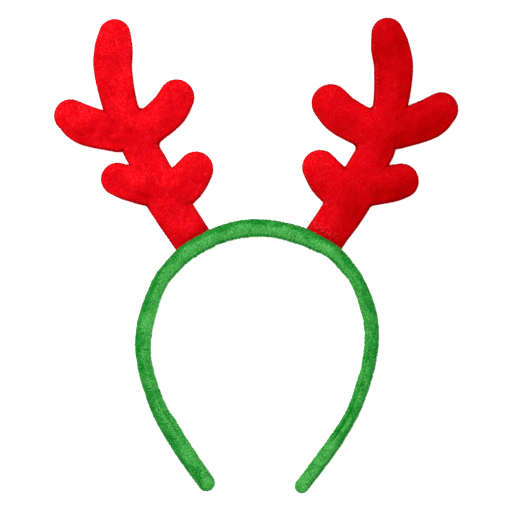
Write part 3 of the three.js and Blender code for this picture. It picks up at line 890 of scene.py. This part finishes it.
def shape_panels(antler, points, triangles, rim, edges, height, depth, moves):
    """Both panels as the cloth has moved, with the seam's relief. Where the seam has rolled to the front it
    lies higher and further in, and the back panel bulges out past it. The stitching draws the cloth in, in a
    groove along the seam with a pucker between two stitches, and the foot is crumpled against the band.
    Gives the skin, with how much painted shade and painted highlight shows on it, and the rim's line."""
    away = antler.outward(points)
    on_rim = points + away * depth[:, None]
    from_foot = points @ antler.up_stem
    across = points @ np.array([antler.up_stem[1], -antler.up_stem[0]])
    chord = np.hypot(depth, height)
    rolled = rolled_seam(antler, points, on_rim, away, from_foot, edges)

    order = round_the_rim(triangles)
    stitches = np.cos(2 * np.pi * seam_run(points, on_rim, order, chord < 5) / STITCH)
    between = stitches * bell(chord, SEAM_WIDTH) * smooth_rise(chord, 0.1, 0.7)
    # painted highlight: light dots on the tucks between stitches, most on edges that face the middle of the
    # headband
    tucks = (0.5 + 0.5 * stitches) ** 2 * bell(depth - 1.0, 0.5)
    tucks = tucks * (0.2 + 0.6 * smooth_rise(-antler.side * away[:, 0], 0.3, 0.9))
    tucks = tucks * (0.6 + 0.6 * soft_noise(on_rim, 3, antler.seed + 6))
    lumps = 0.2 * soft_noise(points, 7, antler.seed + 2) + 0.1 * soft_noise(points, 3, antler.seed + 3)
    puckers = soft_noise(on_rim, 1.8, antler.seed + 4) * np.exp(-depth / 2) * smooth_rise(chord, 0.2, 2.2)
    relief = lumps * smooth_rise(depth, 1, 6) + 0.2 * puckers + 0.16 * between
    crumple = foot_folds(antler, depth, from_foot, across)

    plump = PLUMP[antler.side] * np.exp(-depth / 4)
    groove = (0.2 + 0.7 * rolled) * bell(chord, 1.1)
    bulge = 0.75 * rolled * (chord / 1.5) * np.exp(1 - chord / 1.5)
    held = smooth_rise(depth, 0, 0.8)
    from_edge = smooth_rise(depth, 1, 4.5)
    panels = []
    for face, move in zip((1, -1), moves):
        out = plump - groove + (bulge if face < 0 else 0)
        flat = points + away * out[:, None] + [SWAY[antler.side], 0] + held[:, None] * move[:, :2]
        swollen = face * height + held * move[:, 2]
        swollen = swollen + from_edge * (evened_out(swollen, edges, SWELL_SWEEPS) - swollen)
        z = swollen + face * relief + 2.2 * rolled * bell(depth, 2.6)
        if face > 0:
            z = z + crumple
        panel = np.column_stack([flat + antler.seat, np.maximum(MIDDLE + z, ANTLER_LIFT)])
        panels.append(clear_of_band(panel, near=from_foot < 14))

    skin, faces = both_panels(*panels, triangles, rim)
    dark = painted_shade_and_dark_right(antler, points, away, depth, from_foot, across, edges)
    # how much the painted highlight on the foot's folds varies
    ruffled = np.clip(0.8 + 0.9 * soft_noise(points, 0.8, antler.seed + 7), 0, 2)
    flange = rolled * bell(chord, SEAM_WIDTH)
    # painted shade on the outermost cloth, where it turns down at the rim, except where the seam has rolled
    painted_edge_shade = bell(depth, 0.7) * (1 - np.clip(rolled, 0, 1))
    front = {
        # painted shade in the seam's groove, wider where the seam has rolled to the front
        "seam": (0.25 + 0.75 * rolled) * bell(depth, 0.9),
        "edge": painted_edge_shade,
        # painted shade by the foot, beside the band and towards edges that face down; darker up the right
        # antler's top tine and over its right side
        "turned": dark,
        # painted highlight on the folds at the foot and on the tucks between stitches
        "raised": np.clip(crumple, 0, 1) * ruffled + tucks,
    }
    back = {
        # painted shade at the rim of the back panel where the seam has rolled to the front
        "seam": rolled * bell(chord, 0.5),
        "edge": painted_edge_shade,
        # less painted shade where the back panel bulges past a rolled seam
        "turned": dark * (1 - 0.8 * np.clip(flange, 0, 1)),
        # painted highlight on the back panel where it bulges past a rolled seam
        "raised": 0.35 * flange,
    }
    values = {label: np.append(value, back[label][~rim]) for label, value in front.items()}
    return (skin, faces, values), panels[0][order]


def clear_of_band(points, near):
    """Points that reach into the band, pressed back out of it: where the superellipse of the section, grown
    by the cloth gap, holds a point, it moves outward to that superellipse."""
    moved = points.copy()
    close = np.flatnonzero(near)
    spot = points[close]
    apart = np.linalg.norm(spot[:, None, :2] - LINE[None, ::2], axis=-1)
    at = np.argmin(apart, axis=1) * 2
    outward, thickness = OUTWARD[at], THICKNESS[at]
    out = ((spot[:, :2] - LINE[at]) * outward).sum(1)
    reach = thickness / 2 - PILE_BED + FOOT_GAP
    share = np.clip(np.abs(spot[:, 2] - MIDDLE) / (MIDDLE + CLOTH_GAP), 0, 1)
    limit = reach * (1 - share**BAND_SQUARENESS) ** (1 / BAND_SQUARENESS)
    push = np.maximum(limit - out, 0)
    moved[close, :2] += outward * push[:, None]
    return moved


# Finishes


def velvet_group():
    """Short pile seen from above. Patches are where the pile has been brushed one way or the other, grain is
    the tufts, and the painted sheen is single bright tufts that catch the light, painted into the colour,
    most where the pile is light. Shade darkens the pile, mostly as painted shade, and shine is a painted
    highlight that turns it to the sheen's colour. Gives the colour and the height of the tufts."""
    group = bpy.data.node_groups.new("velvet pile", "ShaderNodeTree")
    face = group.interface
    face.new_socket("Place", in_out="INPUT", socket_type="NodeSocketVector")
    for name, value in (("Dark", (0.3, 0, 0, 1)), ("Light", (0.9, 0, 0, 1)), ("Painted sheen", (0.9, 0.1, 0.1, 1))):
        face.new_socket(name, in_out="INPUT", socket_type="NodeSocketColor").default_value = value
    for name, value in (
        ("Patch size", 14),
        ("Patch strength", 0.5),
        ("Grain size", 0.6),
        ("Grain strength", 0.3),
        ("Painted sheen strength", 0.2),
        ("Shade", 0.0),
        ("Shine", 0.0),
    ):
        face.new_socket(name, in_out="INPUT", socket_type="NodeSocketFloat").default_value = value
    face.new_socket("Color", in_out="OUTPUT", socket_type="NodeSocketColor")
    face.new_socket("Height", in_out="OUTPUT", socket_type="NodeSocketFloat")
    nodes, links = group.nodes, group.links
    given = nodes.new("NodeGroupInput")
    result = nodes.new("NodeGroupOutput")

    def math_node(kind, a, b=None, c=None, clamp=False):
        node = nodes.new("ShaderNodeMath")
        node.operation = kind
        node.use_clamp = clamp
        for socket, value in zip(node.inputs, (a, b, c)):
            if value is None:
                continue
            if isinstance(value, (int, float)):
                socket.default_value = value
            else:
                links.new(value, socket)
        return node.outputs[0]

    def noise(size, detail, rough, offset):
        moved = nodes.new("ShaderNodeVectorMath")
        moved.operation = "ADD"
        links.new(given.outputs["Place"], moved.inputs[0])
        moved.inputs[1].default_value = (offset, offset * 1.7, offset * 0.6)
        node = nodes.new("ShaderNodeTexNoise")
        links.new(moved.outputs[0], node.inputs["Vector"])
        links.new(math_node("DIVIDE", 1000, size), node.inputs["Scale"])
        node.inputs["Detail"].default_value = detail
        node.inputs["Roughness"].default_value = rough
        return node.outputs["Fac"]

    patch_size = given.outputs["Patch size"]
    grain_size = given.outputs["Grain size"]
    broad = noise(patch_size, 2, 0.5, 0.0)
    small = noise(math_node("MULTIPLY", patch_size, 0.3), 2, 0.6, 0.31)
    grain = noise(grain_size, 2, 0.7, 0.77)
    # painted sheen: the noise that picks the bright tufts which catch the light
    painted_sheen = noise(math_node("MULTIPLY", grain_size, 0.8), 1, 0.5, 1.3)

    def centred(value, strength):
        return math_node("MULTIPLY", math_node("SUBTRACT", value, 0.5), strength)

    brushed = math_node("ADD", math_node("MULTIPLY", broad, 0.6), math_node("MULTIPLY", small, 0.4))
    patch = centred(brushed, math_node("MULTIPLY", given.outputs["Patch strength"], 3.2))
    tuft = centred(grain, math_node("MULTIPLY", given.outputs["Grain strength"], 2.4))
    level = math_node("ADD", math_node("ADD", 0.6, patch), tuft)
    level = math_node("SUBTRACT", level, given.outputs["Shade"], clamp=True)

    def mixed(share, a, b):
        node = nodes.new("ShaderNodeMix")
        node.data_type = "RGBA"
        links.new(share, node.inputs["Factor"])
        colours = [socket for socket in node.inputs if socket.type == "RGBA"]
        links.new(a, colours[0])
        links.new(b, colours[1])
        return [socket for socket in node.outputs if socket.type == "RGBA"][0]

    cloth = mixed(level, given.outputs["Dark"], given.outputs["Light"])
    # how far the colour turns to the painted sheen, together with the painted highlight of the shine
    raised = math_node("MULTIPLY", math_node("SUBTRACT", painted_sheen, 0.52, clamp=True), 5)
    share = math_node("MULTIPLY", math_node("POWER", level, 2), given.outputs["Painted sheen strength"])
    raised = math_node("MULTIPLY_ADD", raised, share, given.outputs["Shine"], clamp=True)
    links.new(mixed(raised, cloth, given.outputs["Painted sheen"]), result.inputs["Color"])
    links.new(math_node("ADD", grain, math_node("MULTIPLY", small, 0.6)), result.inputs["Height"])
    return group


VELVET = velvet_group()


def velvet(
    name, colours, patch, grain, painted_sheen, shades=(), shines=(), along_nap=False, relief=0.25, sheen=0.025
):
    """A velvet material. Colours are the pile's dark, light and painted sheen, the colour of bright tufts
    that catch the light. Patch and grain are pairs of size, in millimetres, and strength. Shades and shines
    are pairs of a mesh attribute and how much it darkens the pile, mostly as painted shade, or turns it to
    the sheen's colour as a painted highlight. The relief is the depth of the bump, in millimetres."""
    material = bpy.data.materials.new(name)
    material.use_nodes = True
    nodes, links = material.node_tree.nodes, material.node_tree.links
    shader = nodes["Principled BSDF"]
    look = nodes.new("ShaderNodeGroup")
    look.node_tree = VELVET
    if along_nap:
        place = nodes.new("ShaderNodeAttribute")
        place.attribute_name = "nap"
        links.new(place.outputs["Vector"], look.inputs["Place"])
    else:
        place = nodes.new("ShaderNodeTexCoord")
        links.new(place.outputs["Object"], look.inputs["Place"])
    for socket, colour in zip(("Dark", "Light", "Painted sheen"), colours):
        look.inputs[socket].default_value = (*colour, 1)
    look.inputs["Patch size"].default_value, look.inputs["Patch strength"].default_value = patch
    look.inputs["Grain size"].default_value, look.inputs["Grain strength"].default_value = grain
    look.inputs["Painted sheen strength"].default_value = painted_sheen
    for socket, pairs in (("Shade", shades), ("Shine", shines)):
        total = None
        for attribute, amount in pairs:
            read = nodes.new("ShaderNodeAttribute")
            read.attribute_name = attribute
            added = nodes.new("ShaderNodeMath")
            added.operation = "MULTIPLY_ADD"
            links.new(read.outputs["Fac"], added.inputs[0])
            added.inputs[1].default_value = amount
            added.inputs[2].default_value = 0
            if total is not None:
                links.new(total, added.inputs[2])
            total = added.outputs[0]
            links.new(total, look.inputs[socket])
    links.new(look.outputs["Color"], shader.inputs["Base Color"])
    bump = nodes.new("ShaderNodeBump")
    bump.inputs["Distance"].default_value = relief * MM
    bump.inputs["Strength"].default_value = 0.8
    links.new(look.outputs["Height"], bump.inputs["Height"])
    links.new(bump.outputs["Normal"], shader.inputs["Normal"])
    shader.inputs["Roughness"].default_value = 0.85
    shader.inputs["Specular IOR Level"].default_value = 0.0
    shader.inputs["Sheen Weight"].default_value = sheen
    shader.inputs["Sheen Roughness"].default_value = 0.45
    shader.inputs["Sheen Tint"].default_value = (*colours[2], 1)
    return material


# Putting it together


def dressed(piece, material, node=None):
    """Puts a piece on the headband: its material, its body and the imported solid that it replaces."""
    piece.data.materials.append(material)
    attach(piece, "root")
    if node:
        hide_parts(node)


# The band's pile: dark, light and painted sheen colours
GREEN = [(0.0, 0.205, 0.015), (0.102, 0.53, 0.106), (0.26, 0.63, 0.26)]
green_look = dict(patch=(9, 0.46), grain=(0.7, 1.3), painted_sheen=0.95, along_nap=True)
# The band's painted shade: where the nap turns away, in the folds and along the lap, and in teeth inside
green_shades = [("outer", 0.43), ("join", 0.85), ("rim", 0.7)]
green_velvet = velvet("green velvet", GREEN, shades=green_shades, **green_look)
tuft_shades = [*green_shades, ("tip", -0.08), ("tuft", 0.22)]
green_tufts = velvet("green velvet tufts", GREEN, shades=tuft_shades, **green_look)

band_skin = band_cover()
dressed(new_piece("band_velvet", *band_skin), green_velvet, "band")
lap_skin = cover_lap()
dressed(new_piece("cover_lap_velvet", *lap_skin), green_velvet, "cover_lap")


def towards_inside(roots):
    """The band's pile is brushed towards the inside of the hoop: the lean at each root."""
    stride = 12
    apart = np.linalg.norm(roots[:, None, :2] - LINE[None, ::stride], axis=-1)
    at = np.argmin(apart, axis=1) * stride
    return np.column_stack([-0.8 * OUTWARD[at], np.zeros(len(roots))])


TUFT_WIDTH = 0.2
for name, skin, count, length, seed in (
    ("band_pile", band_skin, 40000, 0.85, 31),
    ("lap_pile", lap_skin, 12000, 0.7, 32),
):
    tufts = pile(*skin, count, length, TUFT_WIDTH, towards_inside, seed)
    dressed(new_piece(name, *tufts, smooth=False), green_tufts)

# Each antler, its pile's dark, light and painted sheen colours, its look and which way its pile is brushed.
# The right antler's colours are darker than the left's.
ANTLERS = [
    (
        Antler("antler_left", -1, LEFT_SEAT, LEFT_SET, 40),
        [(0.4, 0.0, 0.002), (0.845, 0.001, 0.005), (0.99, 0.065, 0.095)],
        dict(patch=(13, 0.5), grain=(0.7, 0.18), painted_sheen=0.75),
        (0.2, -0.9, 0),
    ),
    (
        Antler("antler_right", 1, RIGHT_SEAT, RIGHT_SET, 60),
        [(0.3, 0.0, 0.0), (0.8, 0.0003, 0.004), (0.96, 0.06, 0.085)],
        dict(patch=(18, 0.28), grain=(0.7, 0.15), painted_sheen=0.65),
        (0.3, 0.9, 0),
    ),
]
RED_TUFTS = 48000
RED_TUFT_LENGTH = 0.45
RED_TUFT_WIDTH = 0.13
RED_THREAD = [(0.2, 0.001, 0.003), (0.467, 0.003, 0.008), (0.55, 0.03, 0.04)]
red_thread = velvet("red thread", RED_THREAD, (8, 0.2), (0.35, 0.5), 0.3, relief=0.1, sheen=0.0)
# The antlers' painted shade in the seam's groove, along the rim, by the foot and towards edges that face
# down, and a painted highlight on folds and tucks; the right antler is also darker up its top tine and to its
# right
red_shades = [("seam", 0.5), ("edge", 0.4), ("turned", 0.3), ("raised", -0.26)]
tuft_shades = [*red_shades, ("tip", -0.08), ("tuft", 0.08)]
for antler, red, look, brushed in ANTLERS:
    name = antler.name
    look["shines"] = [("raised", 0.26)]
    skin, rim_line = stuffed_antler(antler)
    cloth = velvet(f"red velvet, {name}", red, shades=red_shades, **look)
    dressed(new_piece(f"{name}_velvet", *skin), cloth, name)
    nap = velvet(f"red tufts, {name}", red, shades=tuft_shades, **look)
    lean = np.array(brushed)
    tufts = pile(*skin, RED_TUFTS, RED_TUFT_LENGTH, RED_TUFT_WIDTH, lambda roots: lean, antler.seed + 9)
    dressed(new_piece(f"{name}_pile", *tufts, smooth=False), nap)
    dressed(new_piece(f"{name}_thread", *thread(rim_line)), red_thread)


# Floor, light and camera

floor_mesh = bpy.data.meshes.new("floor")
floor_mesh.from_pydata([(-3, -3, 0), (3, -3, 0), (3, 3, 0), (-3, 3, 0)], [], [(0, 1, 2, 3)])
floor = bpy.data.objects.new("floor", floor_mesh)
bpy.context.scene.collection.objects.link(floor)
paper = bpy.data.materials.new("white paper")
paper.use_nodes = True
for socket, value in {
    "Base Color": (0.93, 0.93, 0.93, 1),
    "Roughness": 0.9,
    "Emission Color": (1, 1, 1, 1),
    "Emission Strength": 0.6,
}.items():
    paper.node_tree.nodes["Principled BSDF"].inputs[socket].default_value = value
floor_mesh.materials.append(paper)


def soft_box(name, place, size, power):
    """A square lamp that looks at the middle of the headband."""
    lamp = bpy.data.lights.new(name, "AREA")
    lamp.shape = "SQUARE"
    lamp.size = size
    lamp.energy = power
    box = bpy.data.objects.new(name, lamp)
    box.location = place
    box.rotation_euler = (Vector((0, 0, 0)) - Vector(place)).to_track_quat("-Z", "Y").to_euler()
    bpy.context.scene.collection.objects.link(box)


soft_box("overhead soft box", (-0.1, 0.1, 1.1), 0.6, 9.2)
soft_box("high soft box", (-0.35, 0.75, 0.85), 0.6, 4)

world = bpy.data.worlds.new("studio")
world.use_nodes = True
world.node_tree.nodes["Background"].inputs["Color"].default_value = (1, 1, 1, 1)
world.node_tree.nodes["Background"].inputs["Strength"].default_value = 0.38
bpy.context.scene.world = world
bpy.context.scene.view_settings.view_transform = "Standard"

# The camera looks straight down, at the photograph's scale on the plane of the antlers' seams
PIXEL = 0.56 * MM
FRAME_SIDE = 512 * PIXEL
CAMERA_HEIGHT = 1.3
SENSOR = 36
view = bpy.data.cameras.new("camera")
view.sensor_width = SENSOR
view.lens = SENSOR * (CAMERA_HEIGHT - MIDDLE * MM) / FRAME_SIDE
view.clip_start = 0.05
view.clip_end = 20
camera = bpy.data.objects.new("camera", view)
camera.location = (0, -0.0003, CAMERA_HEIGHT)
camera.rotation_euler = (0, 0, 0)
bpy.context.scene.collection.objects.link(camera)
bpy.context.scene.camera = camera
